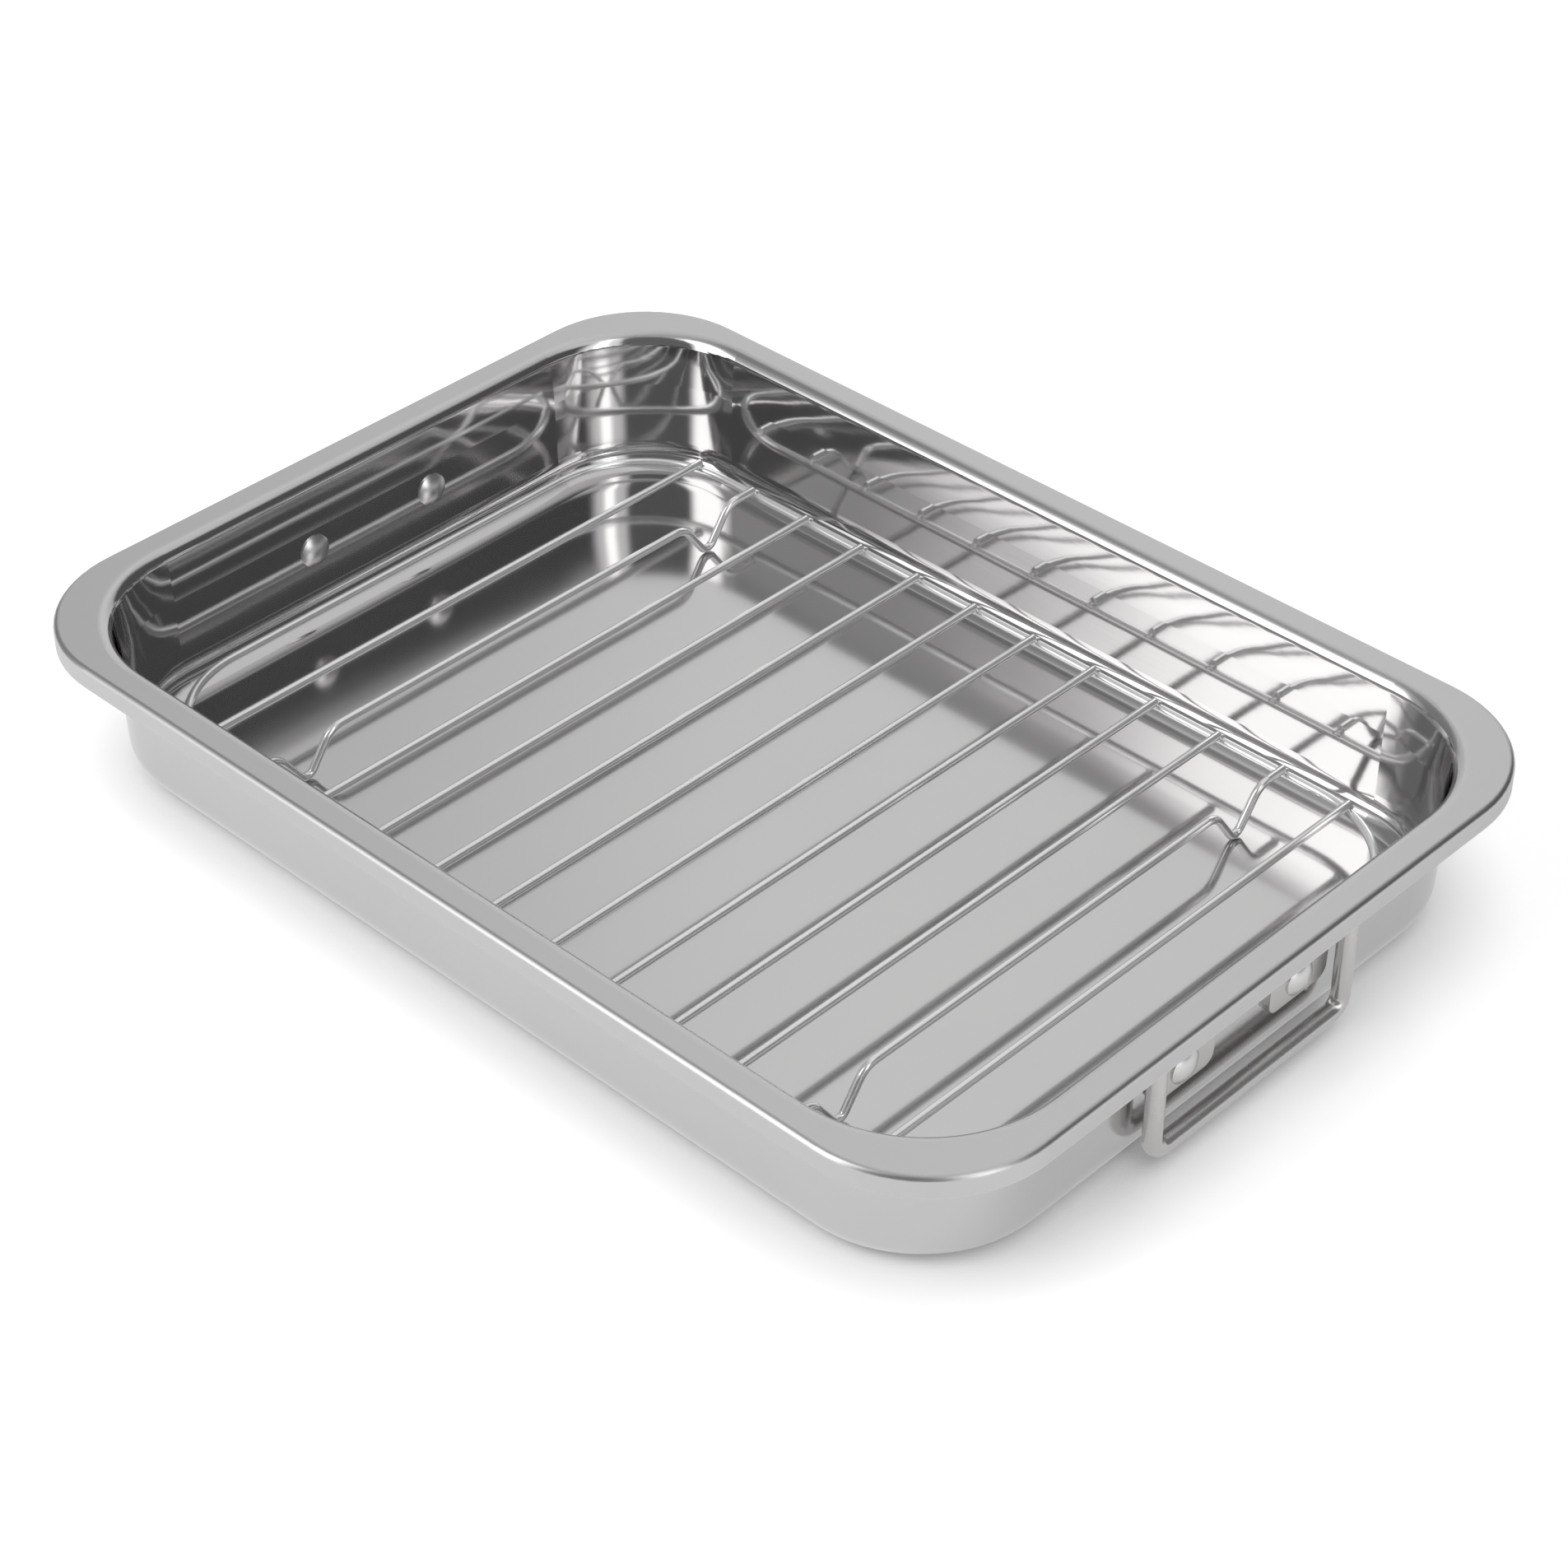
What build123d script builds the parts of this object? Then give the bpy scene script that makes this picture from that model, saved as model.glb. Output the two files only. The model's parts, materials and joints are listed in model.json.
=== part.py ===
from build123d import *
import os
from math import asin, atan2, cos, hypot, radians, sin, tan

# Roasting pan with a lift-out rack and two drop handles
# The origin is under the middle of the base, X runs along the pan and Z is up
# All sizes are in millimetres and degrees

os.makedirs("parts", exist_ok=True)

# Sizes of the pan
rim_length = 400.0
rim_width = 287.0
rim_corner = 44.0
pan_height = 53.0
sheet = 0.9
shelf_width = 11.2
apron_depth = 7.5
apron_roll = 1.9
mouth_radius = 4.4
wall_corner = 47.0
wall_draft = 1.2
flare_depth = 11.5
flare_draft = 8.0
flare_radius = 125.0
floor_radius = 10.0

# Sizes of the drop handles
bail_wire = 6.0
bail_span = 87.3
bail_drop = 35.2
bail_corner = 5.2
hinge_corner = 3.8
hinge_gap = 1.1
hinge_climb = 16.0
hinge_clearance = 0.08
bail_end_overhang = 2.0

# Sizes of the folded clips and their rivets
strap = 1.0
clip_width = 27.0
clip_spacing = 52.6
clip_foot = 6.8
clip_corner = 4.0
clip_neck = 8.3
rivet_depth = 27.0
rivet_shank = 4.0
rivet_head = 11.6
rivet_edge = 0.5
rivet_dome = 2.0

# Sizes of the rack
ring_wire = 3.0
ring_length = 345.0
ring_width = 230.0
ring_corner = 41.0
ring_lift = 12.2
cross_wire = 2.8
cross_count = 12
cross_pitch = 25.9
cross_end_inset = 1.0
weld_sink = 0.4
rack_seat = 0.3
outer_count = 1
foot_reach = 91.0
foot_lean = 35.5
foot_bend = 3.4
shoulder_bend = 8.0

# How far a cutting form runs past the surface that it opens
overrun = 1.0

# Worked out from the sizes above
wall_in_plan = sheet / cos(radians(wall_draft))
bowl_length = rim_length - 2 * shelf_width
bowl_width = rim_width - 2 * shelf_width
clip_y = clip_spacing / 2
flare_reach = flare_depth * tan(radians(flare_draft))
rivet_x = bowl_length / 2 - flare_reach - (rivet_depth - flare_depth) * tan(radians(wall_draft))
curl_inside = bail_wire / 2 + hinge_clearance
curl_outside = curl_inside + strap
pin = (curl_outside + hinge_gap, hinge_climb)
ring_z = sheet + ring_lift
cross_z = ring_z + ring_wire / 2 + cross_wire / 2 - weld_sink
cross_half = ring_width / 2 - cross_end_inset
foot_bottom_z = sheet + rack_seat + cross_wire / 2
foot_corner_z = foot_bottom_z - foot_bend * (1 / sin(radians(foot_lean)) - 1)
foot_half_opening = (cross_z - foot_corner_z) * tan(radians(foot_lean))


def wall_section(plane, inset, floor_z, bend, foot):
    """Half a section of the bowl from a corner's upright axis: a leaning wall that flares at the top."""
    top = wall_corner - inset
    waist = top - flare_reach
    base = waist - (pan_height - flare_depth - floor_z) * tan(radians(wall_draft))
    with BuildSketch(plane) as section:
        with BuildLine():
            Polyline((0, floor_z), (0, pan_height), (top, pan_height))
            FilletPolyline(
                (top, pan_height),
                (waist, pan_height - flare_depth),
                (base, floor_z),
                (0, floor_z),
                radius=(bend, foot),
            )
        make_face()
    return section.sketch


def bowl_form(inset, floor_z, bend, foot):
    """The bowl as a filled form: its section turned round a corner and run along both sides."""
    centre_x = bowl_length / 2 - wall_corner
    centre_y = bowl_width / 2 - wall_corner
    corner = (centre_x, centre_y, 0)
    end_section = wall_section(Plane(corner, (1, 0, 0), (0, -1, 0)), inset, floor_z, bend, foot)
    side_section = wall_section(Plane(corner, (0, 1, 0), (1, 0, 0)), inset, floor_z, bend, foot)
    with BuildPart() as form:
        with BuildSketch(Plane.XY.offset(floor_z)):
            Rectangle(centre_x, centre_y, align=Align.MIN)
        extrude(amount=pan_height - floor_z)
        extrude(end_section, amount=centre_y)
        extrude(side_section, amount=-centre_x)
        revolve(end_section, axis=Axis(corner, (0, 0, 1)), revolution_arc=90)
        mirror(about=Plane.YZ)
        mirror(about=Plane.XZ)
    return form.part


def rivet_plane(end, y):
    """The plane on the outside of an end wall at a rivet, with its Z axis square to the wall."""
    outward = (end * cos(radians(wall_draft)), 0, -sin(radians(wall_draft)))
    return Plane((end * rivet_x, y, pan_height - rivet_depth), x_dir=(0, 1, 0), z_dir=outward)


def clip_plane(y):
    """The upright plane through a rivet of the +X end: X leaves the wall and Y climbs it."""
    wall = rivet_plane(1, y)
    return Plane(wall.origin, x_dir=wall.z_dir, z_dir=(0, -1, 0))


def tangent_point(start, centre, radius, side):
    """Where a line from start touches a circle, on its upper (side 1) or lower (side -1) flank."""
    across = centre[0] - start[0]
    up = centre[1] - start[1]
    reach = hypot(across, up)
    angle = atan2(up, across) + side * asin(radius / reach)
    length = (reach**2 - radius**2) ** 0.5
    return (start[0] + length * cos(angle), start[1] + length * sin(angle))


def pulled_in(point, centre, share):
    """A point moved towards the centre, to this share of its distance."""
    return (centre[0] + (point[0] - centre[0]) * share, centre[1] + (point[1] - centre[1]) * share)


def slope(start, end):
    """How much a line climbs for each millimetre across."""
    return (end[1] - start[1]) / (end[0] - start[0])


def crossing(first, first_slope, second, second_slope):
    """Where two lines cross, each given by a point and its slope."""
    rise = second[1] - first[1] + first_slope * first[0] - second_slope * second[0]
    across = rise / (first_slope - second_slope)
    return (across, first[1] + first_slope * (across - first[0]))


def dome_middle(base, height, radius):
    """The point half way from a dome's edge to its crown; a negative height makes it face in."""
    ball = (radius**2 + height**2) / (2 * abs(height))
    half_angle = asin(radius / ball) / 2
    side = height / abs(height)
    return (base + height - side * ball * (1 - cos(half_angle)), ball * sin(half_angle))


def save(piece, name):
    """Labels a finished piece and writes its file."""
    piece.part.label = name
    export_step(piece.part, f"parts/{name}.step")


def save_with_mirror(piece, name):
    """Saves a piece of the +X end and its mirror image at the -X end."""
    save(piece, f"{name}_right")
    with BuildPart() as opposite:
        mirror(piece.part, about=Plane.YZ)
    save(opposite, f"{name}_left")


# The pan is one sheet, drawn into a bowl, with a flat shelf and a turned-down apron
bowl_outside = bowl_form(0, 0, flare_radius, floor_radius + sheet)
bowl_inside = bowl_form(wall_in_plan, sheet, flare_radius + sheet, floor_radius)

with BuildPart() as under_shelf:
    with BuildSketch(Plane.XY.offset(pan_height - sheet)):
        RectangleRounded(rim_length - 2 * sheet, rim_width - 2 * sheet, rim_corner - sheet)
    extrude(amount=-(apron_depth + overrun))
    add(bowl_outside, mode=Mode.SUBTRACT)
    fillet(under_shelf.faces().sort_by(Axis.Z)[-1].outer_wire().edges(), apron_roll - sheet)
    fillet(under_shelf.faces().sort_by(Axis.Z)[-1].inner_wires()[0].edges(), mouth_radius - sheet)

with BuildPart() as pan:
    with BuildSketch(Plane.XY.offset(pan_height)):
        RectangleRounded(rim_length, rim_width, rim_corner)
    extrude(amount=-apron_depth)
    fillet(pan.faces().sort_by(Axis.Z)[-1].edges(), apron_roll)
    add(bowl_outside)
    add(under_shelf.part, mode=Mode.SUBTRACT)
    add(bowl_inside, mode=Mode.SUBTRACT)
    fillet(pan.faces().sort_by(Axis.Z)[-1].inner_wires()[0].edges(), mouth_radius)
    for end in (-1, 1):
        for y in (-clip_y, clip_y):
            with BuildSketch(rivet_plane(end, y)):
                Circle(rivet_shank / 2)
            extrude(amount=sheet + overrun, both=True, mode=Mode.SUBTRACT)
save(pan, "pan")

# Each clip is a strap folded round the handle wire, with both leaves riveted to the wall
for place, y in (("near", -clip_y), ("far", clip_y)):
    wall = clip_plane(y)
    back_neck = (0, pin[1] - clip_neck)
    front_neck = (2 * strap, pin[1] - clip_neck)
    upper = tangent_point(back_neck, pin, curl_outside, 1)
    lower = tangent_point(front_neck, pin, curl_outside, -1)
    upper_inside = pulled_in(upper, pin, curl_inside / curl_outside)
    lower_inside = pulled_in(lower, pin, curl_inside / curl_outside)
    fold = crossing(upper_inside, slope(back_neck, upper), lower_inside, slope(front_neck, lower))
    with BuildPart() as clip:
        with BuildSketch(wall):
            with BuildLine():
                Polyline((2 * strap, -clip_foot), (0, -clip_foot), back_neck, upper)
                ThreePointArc(upper, (pin[0] + curl_outside, pin[1]), lower)
                Polyline(lower, front_neck, (2 * strap, -clip_foot))
            make_face()
            with BuildLine():
                Polyline(lower_inside, fold, upper_inside)
                ThreePointArc(upper_inside, (pin[0] + curl_inside, pin[1]), lower_inside)
            make_face(mode=Mode.SUBTRACT)
        extrude(amount=clip_width / 2, both=True)
        foot_corners = clip.edges().filter_by(Axis(wall.origin, wall.x_dir)).group_by(Axis.Z)[0]
        fillet(foot_corners, clip_corner)
        with BuildSketch(rivet_plane(1, y)):
            Circle(rivet_shank / 2)
        extrude(amount=2 * strap, mode=Mode.SUBTRACT)
    save_with_mirror(clip, f"handle_clip_{place}")

    edge_out = 2 * strap + rivet_edge
    edge_in = -sheet - rivet_edge
    with BuildPart() as rivet:
        with BuildSketch(wall):
            with BuildLine():
                Line((edge_in - rivet_dome, 0), (edge_out + rivet_dome, 0))
                ThreePointArc(
                    (edge_out + rivet_dome, 0),
                    dome_middle(edge_out, rivet_dome, rivet_head / 2),
                    (edge_out, rivet_head / 2),
                )
                Polyline(
                    (edge_out, rivet_head / 2),
                    (2 * strap, rivet_head / 2),
                    (2 * strap, rivet_shank / 2),
                    (-sheet, rivet_shank / 2),
                    (-sheet, rivet_head / 2),
                    (edge_in, rivet_head / 2),
                )
                ThreePointArc(
                    (edge_in, rivet_head / 2),
                    dome_middle(edge_in, -rivet_dome, rivet_head / 2),
                    (edge_in - rivet_dome, 0),
                )
            make_face()
        revolve(axis=Axis(wall.origin, wall.x_dir))
    save_with_mirror(rivet, f"rivet_{place}")

# Each handle is one wire bent to a loop whose two ends turn in towards each other through the clips
bail_end = clip_y - clip_width / 2 - bail_end_overhang
half_span = bail_span / 2
hinge = clip_plane(0).from_local_coords(pin)
hinge_x = hinge.X
hinge_z = hinge.Z
with BuildPart() as bail:
    with BuildLine() as bail_path:
        FilletPolyline(
            (hinge_x, -bail_end, hinge_z),
            (hinge_x, -half_span, hinge_z),
            (hinge_x, -half_span, hinge_z - bail_drop),
            (hinge_x, half_span, hinge_z - bail_drop),
            (hinge_x, half_span, hinge_z),
            (hinge_x, bail_end, hinge_z),
            radius=(hinge_corner, bail_corner, bail_corner, hinge_corner),
        )
    with BuildSketch(Plane((hinge_x, -bail_end, hinge_z), z_dir=(0, -1, 0))):
        Circle(bail_wire / 2)
    sweep()
save_with_mirror(bail, "handle_bail")

# The rack's frame is one wire bent to a rounded rectangle and butt welded
ring_x = ring_length / 2
ring_y = ring_width / 2
with BuildPart() as ring:
    with BuildLine():
        FilletPolyline(
            (ring_x, ring_y, ring_z),
            (ring_x, -ring_y, ring_z),
            (-ring_x, -ring_y, ring_z),
            (-ring_x, ring_y, ring_z),
            radius=ring_corner,
            close=True,
        )
    with BuildSketch(Plane((0, ring_y, ring_z), z_dir=(1, 0, 0))):
        Circle(ring_wire / 2)
    sweep()
save(ring, "rack_ring")


def cross_wire_route(x, is_foot):
    """The corners of a cross wire: straight, or with a V near each end that stands on the floor."""
    half = [(x, cross_half, cross_z)]
    if is_foot:
        half.append((x, foot_reach + foot_half_opening, cross_z))
        half.append((x, foot_reach, foot_corner_z))
        half.append((x, foot_reach - foot_half_opening, cross_z))
    return half + [(px, -py, pz) for px, py, pz in reversed(half)]


# The cross wires lie on the frame, each let into it a little by its weld
for number in range(1, cross_count + 1):
    is_foot = number in (outer_count + 1, cross_count - outer_count)
    x = (number - (cross_count + 1) / 2) * cross_pitch
    route = cross_wire_route(x, is_foot)
    with BuildPart() as wire:
        with BuildLine():
            if is_foot:
                half_bends = (shoulder_bend, foot_bend, shoulder_bend)
                FilletPolyline(*route, radius=half_bends + half_bends)
            else:
                Polyline(*route)
        with BuildSketch(Plane(route[0], z_dir=(0, -1, 0))):
            Circle(cross_wire / 2)
        sweep()
        add(ring.part, mode=Mode.SUBTRACT)
    save(wire, f"rack_foot_wire_{number:02d}" if is_foot else f"rack_wire_{number:02d}")
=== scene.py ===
# %% [markdown]
# # A roasting pan with a rack, dressed for a studio picture
# The pan, its clips, rivets, handles and rack come in as finished solids at their real size. This lesson
# gives them their steel, adds the small welds that hold the rack together, and sets up the camera, the
# floor and the light. Everything is in metres, with X along the pan, Y across it and Z up.

# %% Load the solids
import json
import math

import bpy
import numpy as np
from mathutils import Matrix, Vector


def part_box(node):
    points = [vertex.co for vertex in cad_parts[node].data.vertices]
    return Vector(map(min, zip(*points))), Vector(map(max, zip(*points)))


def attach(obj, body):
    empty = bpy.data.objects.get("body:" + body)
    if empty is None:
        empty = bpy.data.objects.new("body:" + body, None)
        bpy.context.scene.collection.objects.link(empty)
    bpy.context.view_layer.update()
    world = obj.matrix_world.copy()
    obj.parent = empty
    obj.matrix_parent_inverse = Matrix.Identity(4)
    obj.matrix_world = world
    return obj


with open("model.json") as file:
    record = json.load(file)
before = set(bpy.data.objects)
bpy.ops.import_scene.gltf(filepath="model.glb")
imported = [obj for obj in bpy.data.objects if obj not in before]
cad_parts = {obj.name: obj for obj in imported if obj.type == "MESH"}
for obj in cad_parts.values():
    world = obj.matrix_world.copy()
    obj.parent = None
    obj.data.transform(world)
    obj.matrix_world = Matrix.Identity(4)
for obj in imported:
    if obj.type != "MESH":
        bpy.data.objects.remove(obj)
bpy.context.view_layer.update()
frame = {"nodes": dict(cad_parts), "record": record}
nodes = frame["nodes"]

# %% [markdown]
# ## The camera
# A product picture of a long object is taken with a long lens, so that the far edge is hardly smaller than
# the near one. A camera is easiest to place by what it looks at: a target point, an azimuth and an elevation
# around it, and a distance. The lens then follows from how much of the picture the pan fills.

# %% Place the camera
pan_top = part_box("pan")[1][2]
target = Vector((0.0421, -0.0357, pan_top))
azimuth, elevation = math.radians(43.783), math.radians(37.491)
distance = 1.0834
sensor_width, focal_length = 36, 83.79
towards_camera = Vector(
    (
        math.sin(azimuth) * math.cos(elevation),
        -math.cos(azimuth) * math.cos(elevation),
        math.sin(elevation),
    )
)
camera = bpy.data.objects.new("camera", bpy.data.cameras.new("camera"))
bpy.context.scene.collection.objects.link(camera)
camera.location = target + towards_camera * distance
camera.rotation_mode = "QUATERNION"
camera.rotation_quaternion = (-towards_camera).to_track_quat("-Z", "Y")
camera.data.sensor_width = sensor_width
camera.data.lens = focal_length
bpy.context.scene.camera = camera
print("camera at", np.round(camera.location, 3).tolist())

# %% [markdown]
# ## Helpers for materials
# A material is a small graph of nodes. Four short functions keep the graphs readable: one adds a node and
# joins its inputs, one does arithmetic, one makes a soft step, and one makes noise on the object's own
# coordinates. Such noise stays on the steel when a handle turns or the rack is lifted.

# %% Small helpers for materials


def new_material(name):
    """A material with an empty node tree and its output."""
    material = bpy.data.materials.new(name)
    material.use_nodes = True
    tree = material.node_tree
    tree.nodes.clear()
    output = tree.nodes.new("ShaderNodeOutputMaterial")
    return material, tree, output


def add(tree, kind, settings=None, **inputs):
    """A node with its settings made, and each input set to a value or joined to a socket.

    An input is named as on the node, with _ for a space, or by its number, as in _0.
    """
    node = tree.nodes.new("ShaderNode" + kind)
    for key, value in (settings or {}).items():
        setattr(node, key, value)
    for key, value in inputs.items():
        place = int(key[1:]) if key[0] == "_" else key.replace("_", " ")
        if isinstance(value, bpy.types.NodeSocket):
            tree.links.new(value, node.inputs[place])
        else:
            node.inputs[place].default_value = value
    return node


def maths(tree, operation, first, second=0.0, third=0.0):
    """One step of arithmetic on sockets or numbers, as a socket."""
    return add(tree, "Math", {"operation": operation}, _0=first, _1=second, _2=third).outputs[0]


def step(tree, value, low, high, start, end):
    """A smooth step: start while the value is under low, end while it is over high."""
    ramp = add(
        tree, "MapRange", {"interpolation_type": "SMOOTHSTEP"},
        Value=value, From_Min=low, From_Max=high, To_Min=start, To_Max=end,
    )
    return ramp.outputs[0]


def stretched_noise(tree, place, stretch, scale, detail=2.0):
    """Noise on the object's coordinates. A stretch under 1 draws it out along that axis."""
    squeezed = add(tree, "Mapping", Vector=place, Scale=stretch).outputs[0]
    return add(tree, "TexNoise", Vector=squeezed, Scale=scale, Detail=detail).outputs["Fac"]


print("helpers ready")

# %% [markdown]
# ## Steel that is a mirror in one place and satin in another
# The pan is pressed from one sheet. Its inside is buffed until it mirrors the rack, while its shelf, the roll
# of its rim and its outside keep a satin skin. One could split the pan into several materials, but a real
# sheet has no seams between its finishes. So one material mixes its roughness by place: the height and the
# way the surface faces tell floor, shelf and outside apart, and the wall inside is what is left.

# %% Tell the pan's floor, shelf and outside apart
pan_steel, tree, output = new_material("pressed_steel")
place = add(tree, "TexCoord").outputs["Object"]
height = add(tree, "SeparateXYZ", Vector=place).outputs["Z"]
facing = add(tree, "NewGeometry").outputs["Normal"]
facing_up = add(tree, "SeparateXYZ", Vector=facing).outputs["Z"]
outwards = add(tree, "VectorMath", {"operation": "DOT_PRODUCT"}, _0=facing, _1=place).outputs["Value"]

shelf_from, shelf_to = 0.0455, 0.0505
rim_from, rim_to = 0.044, 0.047
floor_from, floor_to = 0.002, 0.012
level_enough = 0.95
is_outside = step(tree, outwards, 0.0, 0.03, 0, 1)
high_up = step(tree, height, shelf_from, shelf_to, 0, 1)
is_shelf = maths(tree, "MULTIPLY", high_up, step(tree, facing_up, 0.5, level_enough, 0, 1))
is_rim = maths(tree, "MULTIPLY", step(tree, height, rim_from, rim_to, 0, 1), is_outside)
is_shelf = maths(tree, "MAXIMUM", is_shelf, is_rim)
low_down = step(tree, height, floor_from, floor_to, 1, 0)
is_floor = maths(tree, "MULTIPLY", low_down, step(tree, facing_up, 0.6, level_enough, 0, 1))
print("places told apart with", len(tree.nodes), "nodes")

# %% [markdown]
# A pressed sheet is never quite flat or even. Soft clouds change its roughness and its tone a little. Three
# bumps lie on each other: slow waves that make every mirrored line waver, the faint level lines that the
# press leaves on the wall, and a fine grain. They are kept low, because a mirror shows the smallest slope.

# %% The pan's pressed steel
wall_rough, floor_more, outside_more, shelf_more = 0.075, 0.03, 0.06, 0.20
cloud_scale, cloud_depth = 14, 0.06
darker_steel, lighter_steel = (0.640, 0.632, 0.632, 1), (0.680, 0.672, 0.670, 1)
rough = maths(tree, "MULTIPLY_ADD", is_floor, floor_more, wall_rough)
rough = maths(tree, "MULTIPLY_ADD", is_outside, outside_more, rough)
rough = maths(tree, "MULTIPLY_ADD", is_shelf, shelf_more, rough)
clouds = stretched_noise(tree, place, (1, 1, 1), cloud_scale, 3)
rough = maths(tree, "MULTIPLY_ADD", maths(tree, "SUBTRACT", clouds, 0.5), cloud_depth, rough)
tone = add(tree, "ValToRGB", Fac=clouds)
tone.color_ramp.elements[0].color = darker_steel
tone.color_ramp.elements[1].color = lighter_steel

# for each bump: the noise's stretch, scale and detail, then the bump's strength and height
pan_bumps = (
    ((1, 1, 1), 9, 1, 1.0, 0.0006),
    ((0.02, 0.02, 1), 420, 2, 0.03, 0.0003),
    ((0.06, 1, 1), 2600, 1, 0.006, 0.0002),
)
lying_under = {}
for stretch, scale, detail, strength, rise in pan_bumps:
    noise = stretched_noise(tree, place, stretch, scale, detail)
    bumped = add(tree, "Bump", Strength=strength, Distance=rise, Height=noise, **lying_under).outputs[0]
    lying_under = {"Normal": bumped}
steel = add(tree, "BsdfPrincipled", Metallic=1.0, Roughness=rough, Base_Color=tone.outputs[0], Normal=bumped)
tree.links.new(steel.outputs[0], output.inputs[0])
print("pressed steel:", len(tree.nodes), "nodes")

# %% [markdown]
# ## Wire and small parts
# The rack is drawn wire with a bright plate, part mirror and part milky, so it stays light where the room
# that it mirrors is dark. The handles are polished wire, a little softer. The clips are cut from satin strip,
# and a rivet's head is struck by a die and tumbled, which leaves it bright but dull. All of them are the same
# kind of metal with other numbers, so one function makes them, with its grain drawn out along the axis of
# the work.

# %% Four more steels
grain_scale, grain_strength = 1800, 0.06
streak_scale, streak_share = 60, 0.5


def wire_steel(name, colour, roughness, grain_stretch, grain_height, metallic=1.0):
    """Metal with a drawn grain: squeezed noise lifts the surface, and soft clouds change how dull it is."""
    material, tree, output = new_material(name)
    place = add(tree, "TexCoord").outputs["Object"]
    grain = stretched_noise(tree, place, grain_stretch, grain_scale, 2)
    clouds = stretched_noise(tree, place, (1, 1, 1), streak_scale, 2)
    uneven = maths(tree, "SUBTRACT", clouds, 0.5)
    rough = maths(tree, "MULTIPLY_ADD", uneven, roughness * streak_share, roughness)
    lift = add(tree, "Bump", Strength=grain_strength, Distance=grain_height, Height=grain).outputs[0]
    metal = add(tree, "BsdfPrincipled", Metallic=metallic, Roughness=rough, Base_Color=(*colour, 1), Normal=lift)
    tree.links.new(metal.outputs[0], output.inputs[0])
    return material


rack_plate = wire_steel("bright_plate", (0.88, 0.88, 0.885), 0.14, (1, 0.03, 1), 0.00002, metallic=0.65)
handle_wire = wire_steel("polished_wire", (0.72, 0.71, 0.705), 0.26, (1, 0.03, 1), 0.00004, metallic=0.8)
clip_strip = wire_steel("satin_strip", (0.68, 0.67, 0.665), 0.22, (1, 0.05, 1), 0.00005)
rivet_head = wire_steel("tumbled_head", (0.78, 0.775, 0.77), 0.32, (1, 1, 1), 0.00005)
finishes = {
    "pan_steel": pan_steel,
    "rack_chrome": rack_plate,
    "handle_steel": handle_wire,
    "clip_steel": clip_strip,
    "rivet_steel": rivet_head,
}
slot_of = {part["node"]: part["material_slot"] for part in frame["record"]["subparts"]}
for name, solid in nodes.items():
    for mesh_slot in solid.material_slots:
        mesh_slot.material = finishes[slot_of[name]]
print("finishes given to", len(slot_of), "solids")

# %% [markdown]
# ## The welds of the rack
# Each cross wire is pressed on the frame while a current runs through both, and the hot metal is squeezed
# out into the four corners between them. Twenty-four separate beads would be slow to handle, so they are one
# mesh. One bead is a flat pillow on a grid of turns and climbs, wider on the diagonals, and numpy sets a
# copy at each crossing. The crossings are worked out from the wires' boxes. The frame's wire and corner and
# the depth of the weld are sizes of the solids, and are written out again here.

# %% Where the wires cross the frame
wire_radius, frame_corner, weld_sink = 0.0015, 0.041, 0.0004
wires = [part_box(name) for name in nodes if name.startswith(("rack_wire", "rack_foot_wire"))]
ring_low, ring_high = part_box("rack_ring")
frame_x, frame_y = ring_high[0] - wire_radius, ring_high[1] - wire_radius
crossing_x = np.array([(low[0] + high[0]) / 2 for low, high in wires])
past_straight = np.maximum(np.abs(crossing_x) - (frame_x - frame_corner), 0)
crossing_y = frame_y - frame_corner + np.sqrt(frame_corner**2 - past_straight**2)
crossing_z = np.full(crossing_x.shape, ring_high[2] - weld_sink / 2)
far_side = np.stack([crossing_x, crossing_y, crossing_z], axis=-1)
crossings = np.concatenate([far_side, far_side * (1, -1, 1)])
print(len(crossings), "crossings")

# %% One bead
bead_radius, bead_height, bead_pinch = 0.00165, 0.00085, 0.2
bead_turns, bead_climbs = 16, 9


def bead_surface(turn_count, climb_count):
    """A pillow: at turn t and climb c the point lies r(t) cos c out and h sin c up.

    The reach r(t) is the bead's radius times 1 - pinch cos 4t, so it is widest half way between the two wires.
    The first and the last row of climbs each meet in one point, which closes the pillow.
    """
    turn = np.linspace(0, 2 * np.pi, turn_count, endpoint=False)
    climb = np.linspace(-np.pi / 2, np.pi / 2, climb_count)[1:-1]
    reach = bead_radius * (1 - bead_pinch * np.cos(4 * turn))
    x = np.cos(climb)[:, None] * reach * np.cos(turn)
    y = np.cos(climb)[:, None] * reach * np.sin(turn)
    z = np.repeat(bead_height * np.sin(climb)[:, None], turn_count, axis=1)
    rows = np.stack([x, y, z], axis=-1).reshape(-1, 3)
    points = np.concatenate([rows, [[0, 0, -bead_height], [0, 0, bead_height]]])
    here = np.arange(turn_count)
    beside = (here + 1) % turn_count
    row = np.arange(climb_count - 3)[:, None] * turn_count
    quads = np.stack([row + here, row + beside, row + beside + turn_count, row + here + turn_count], axis=-1)
    last = (climb_count - 3) * turn_count
    under = np.stack([beside, here, np.full(turn_count, len(rows))], axis=-1)
    over = np.stack([last + here, last + beside, np.full(turn_count, len(rows) + 1)], axis=-1)
    return points, quads.reshape(-1, 4), np.concatenate([under, over])


bead, bead_quads, bead_caps = bead_surface(bead_turns, bead_climbs)
print("a bead has", len(bead), "points")

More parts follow.
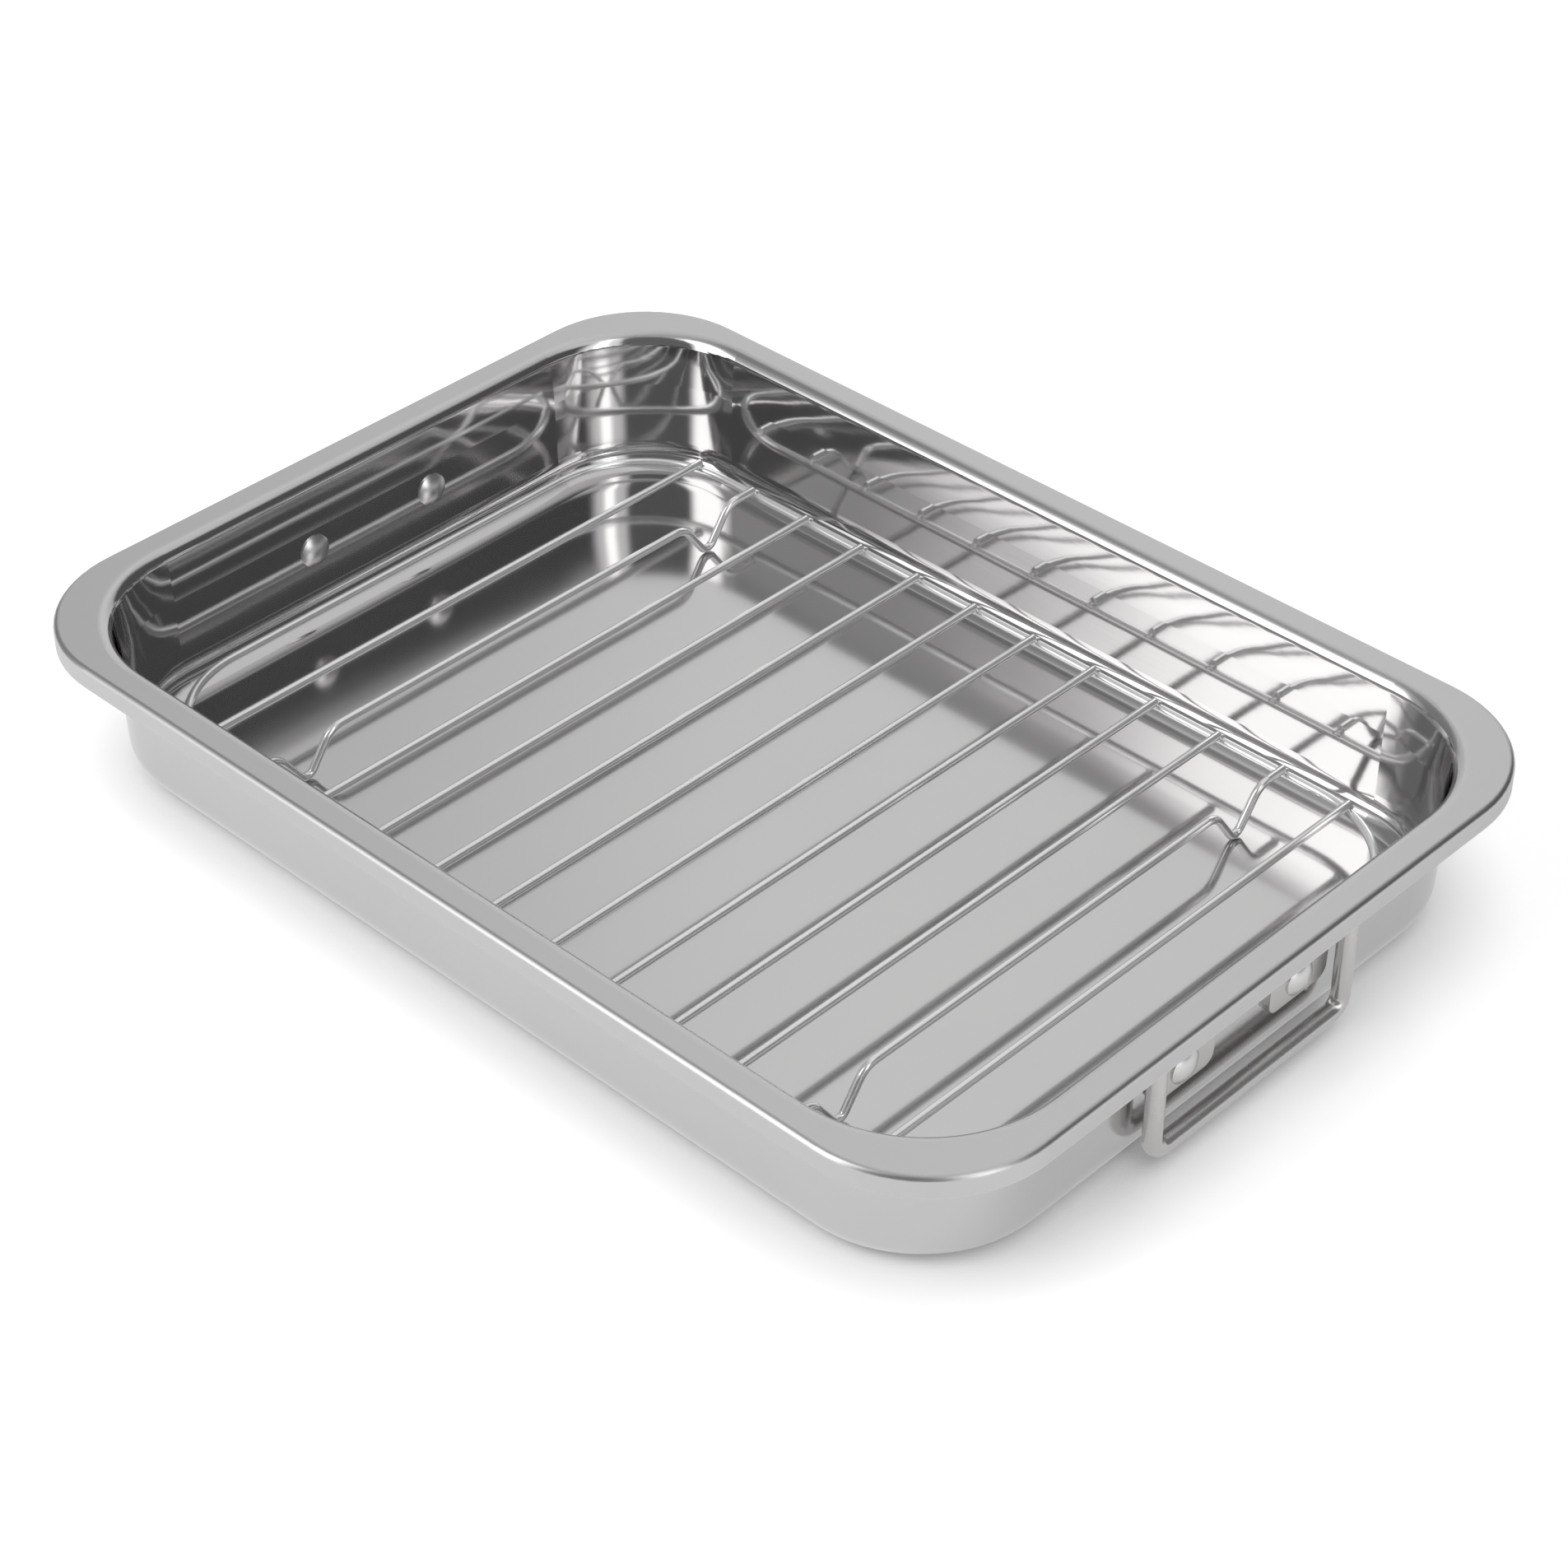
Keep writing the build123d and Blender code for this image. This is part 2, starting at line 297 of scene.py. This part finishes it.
# %% Twenty-four weld beads
bead_points = (crossings[:, None, :] + bead).reshape(-1, 3)
first_point = np.arange(len(crossings))[:, None, None] * len(bead)
all_quads = (bead_quads + first_point).reshape(-1, 4).tolist()
all_caps = (bead_caps + first_point).reshape(-1, 3).tolist()
weld_mesh = bpy.data.meshes.new("rack_welds")
weld_mesh.from_pydata(bead_points.tolist(), [], all_quads + all_caps)
weld_mesh.shade_smooth()
weld_mesh.materials.append(rack_plate)
welds = bpy.data.objects.new("rack_welds", weld_mesh)
bpy.context.scene.collection.objects.link(welds)
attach(welds, "rack")
print(len(crossings), "weld beads with", len(weld_mesh.polygons), "faces")

# %% [markdown]
# ## Floor and room
# Steel has no look of its own: it shows the room. A white floor gives the outside its light grey, and a
# grey room with a few pale and dark cards gives the inside its darks and whites. The floor's own colour makes
# most of the white background, with a little light added for what the camera and the steel see. Close to the
# object, ambient occlusion dims what the camera sees of that added light, where less of the room is open
# above the floor: this is a painted contact shade. So the floor stays white, takes a soft shadow that is
# partly real and partly painted, and looks grey through the handle.

# %% The floor
floor_half = 4.0
floor_grey = 0.55
# the glow the camera sees, the glow the steel mirrors, and how far the painted contact shade reaches
glow_seen, glow_mirrored, painted_shade_reach = 0.72, 0.40, 0.03
floor_corners = floor_half * np.array([(-1, -1, 0), (1, -1, 0), (1, 1, 0), (-1, 1, 0)])
floor_mesh = bpy.data.meshes.new("floor")
floor_mesh.from_pydata(floor_corners.tolist(), [], [(0, 1, 2, 3)])
floor = bpy.data.objects.new("floor", floor_mesh)
bpy.context.scene.collection.objects.link(floor)
floor_paint, tree, output = new_material("white_floor")
path = add(tree, "LightPath")
seen = maths(tree, "MAXIMUM", path.outputs["Is Camera Ray"], path.outputs["Is Transmission Ray"])
lift = maths(tree, "MULTIPLY", path.outputs["Is Glossy Ray"], glow_mirrored)
# painted contact shade: ambient occlusion dims the floor's glow for the camera close to the object
painted_contact_shade = add(tree, "AmbientOcclusion", {"samples": 4}, Distance=painted_shade_reach).outputs["AO"]
strength = maths(tree, "MULTIPLY_ADD", maths(tree, "MULTIPLY", seen, glow_seen), painted_contact_shade, lift)
glow = add(tree, "Emission", Color=(1, 1, 1, 1), Strength=strength)
paint = add(tree, "BsdfDiffuse", Color=(floor_grey, floor_grey, floor_grey, 1))
both = add(tree, "AddShader", _0=glow.outputs[0], _1=paint.outputs[0])
tree.links.new(both.outputs[0], output.inputs[0])
floor_mesh.materials.append(floor_paint)
print("floor", 2 * floor_half, "m wide")

# %% [markdown]
# The room is a dome over the set. Its tones are worked out for each direction, as a photographer hangs grey,
# white and black cards, and kept as an attribute of its points. The camera looks through it. A dome of
# tones is simpler to steer than many lamps, since each card is one line of numbers.

# %% The tones of the room


def room_tone(turn, climb, patches, ground):
    """The grey at each direction: a ground tone, pulled towards each card's tone inside a soft-edged window.

    A window is 1 within its half width and half height of its centre. Past them one ramp falls in azimuth
    and one in elevation, both in degrees over the softness, and the smooth step of their product is used.
    """
    tone = np.full(turn.shape, ground)
    for centre, height, half_turn, half_climb, softness, value in patches:
        across = np.abs((turn - centre + 180) % 360 - 180) - half_turn
        along = np.abs(climb - height) - half_climb
        inside = 1 - np.clip(across / softness, 0, 1)
        inside = inside * (1 - np.clip(along / softness, 0, 1))
        inside = inside * inside * (3 - 2 * inside)
        tone = tone + (value - tone) * inside
    return tone


# azimuth and elevation of the centre, half width, half height, softness and tone of each card
room_patches = (
    (130, 40, 42, 60, 12, 0.62),
    (124, 40, 8, 60, 18, 0.80),
    (52, 80, 50, 24, 10, 0.75),
    (52, 10, 38, 33, 6, 0.10),
    (298, 32, 30, 30, 8, 0.16),
    (190, 25, 20, 30, 10, 0.25),
    (350, 30, 12, 30, 8, 1.05),
    (351, 30, 3, 30, 5, 2.4),
    (248, 25, 11, 32, 12, 2.3),
)
room_grey, room_step = 0.45, 3.0
full_turn, quarter_turn = np.arange(0, 360 + room_step, room_step), np.arange(0, 90 + room_step, room_step)
turns, climbs = np.meshgrid(full_turn, quarter_turn, indexing="ij")
tones = room_tone(turns, climbs, room_patches, room_grey)
print("tones from", tones.min().round(2), "to", tones.max().round(2))

# %% The room's dome
room_radius = 3.0
around, upward = np.radians(turns), np.radians(climbs)
dome = [np.cos(around) * np.cos(upward), np.sin(around) * np.cos(upward), np.sin(upward)]
dome = room_radius * np.stack(dome, axis=-1)
rows, columns = turns.shape
corner = (np.arange(rows - 1)[:, None] * columns + np.arange(columns - 1)).reshape(-1)
faces = np.stack([corner, corner + 1, corner + columns + 1, corner + columns], axis=-1)
room_mesh = bpy.data.meshes.new("studio_room")
room_mesh.from_pydata(dome.reshape(-1, 3).tolist(), [], faces.tolist())
tone_layer = room_mesh.attributes.new("tone", "FLOAT", "POINT")
tone_layer.data.foreach_set("value", tones.reshape(-1).astype(np.float32))
room = bpy.data.objects.new("studio_room", room_mesh)
bpy.context.scene.collection.objects.link(room)
room_paint, tree, output = new_material("studio_grey")
tone_read = add(tree, "Attribute", {"attribute_name": "tone"})
card = add(tree, "Emission", Color=(1, 1, 1, 1), Strength=tone_read.outputs["Fac"])
tree.links.new(card.outputs[0], output.inputs[0])
room_mesh.materials.append(room_paint)
room.visible_camera = False
room.visible_shadow = False
print("room of", len(faces), "faces")

# %% [markdown]
# ## Lamps and sky
# Two soft lamps stand near the brightest cards, so that the shadows agree with what the steel mirrors. The
# steel doesn't mirror the lamps themselves, because the cards already do that work. The sky is plain white
# for the camera, and only a dim grey for what it would light.

# %% Two soft lamps and a white sky
lamp_distance = 2.4
sky_grey = 0.3


def soft_lamp(name, turn, climb, width, height, radiance):
    """A rectangular lamp that looks at the pan, whose power follows from the brightness of its face."""
    data = bpy.data.lights.new(name, "AREA")
    data.shape, data.size, data.size_y = "RECTANGLE", width, height
    data.energy = radiance * math.pi * width * height
    lamp = bpy.data.objects.new(name, data)
    bpy.context.scene.collection.objects.link(lamp)
    a, e = math.radians(turn), math.radians(climb)
    aim = Vector((math.cos(a) * math.cos(e), math.sin(a) * math.cos(e), math.sin(e)))
    lamp.location = aim * lamp_distance
    lamp.rotation_mode = "QUATERNION"
    lamp.rotation_quaternion = aim.to_track_quat("Z", "Y")
    lamp.visible_glossy = False
    return lamp


key = soft_lamp("key_lamp", 241, 42, 0.9, 1.3, 5.0)
fill = soft_lamp("fill_lamp", 350, 45, 0.6, 1.2, 0.5)
world = bpy.data.worlds.new("sky")
bpy.context.scene.world = world
world.use_nodes = True
tree = world.node_tree
tree.nodes.clear()
output = tree.nodes.new("ShaderNodeOutputWorld")
path = add(tree, "LightPath")
seen = maths(tree, "MAXIMUM", path.outputs["Is Camera Ray"], path.outputs["Is Glossy Ray"])
seen = maths(tree, "MAXIMUM", seen, path.outputs["Is Transmission Ray"])
brightness = maths(tree, "MULTIPLY_ADD", seen, 1 - sky_grey, sky_grey)
sky = add(tree, "Background", Color=(1, 1, 1, 1), Strength=brightness)
tree.links.new(sky.outputs[0], output.inputs[0])
bpy.context.scene.view_settings.view_transform = "Standard"
print("lamps", [lamp.name for lamp in (key, fill)])
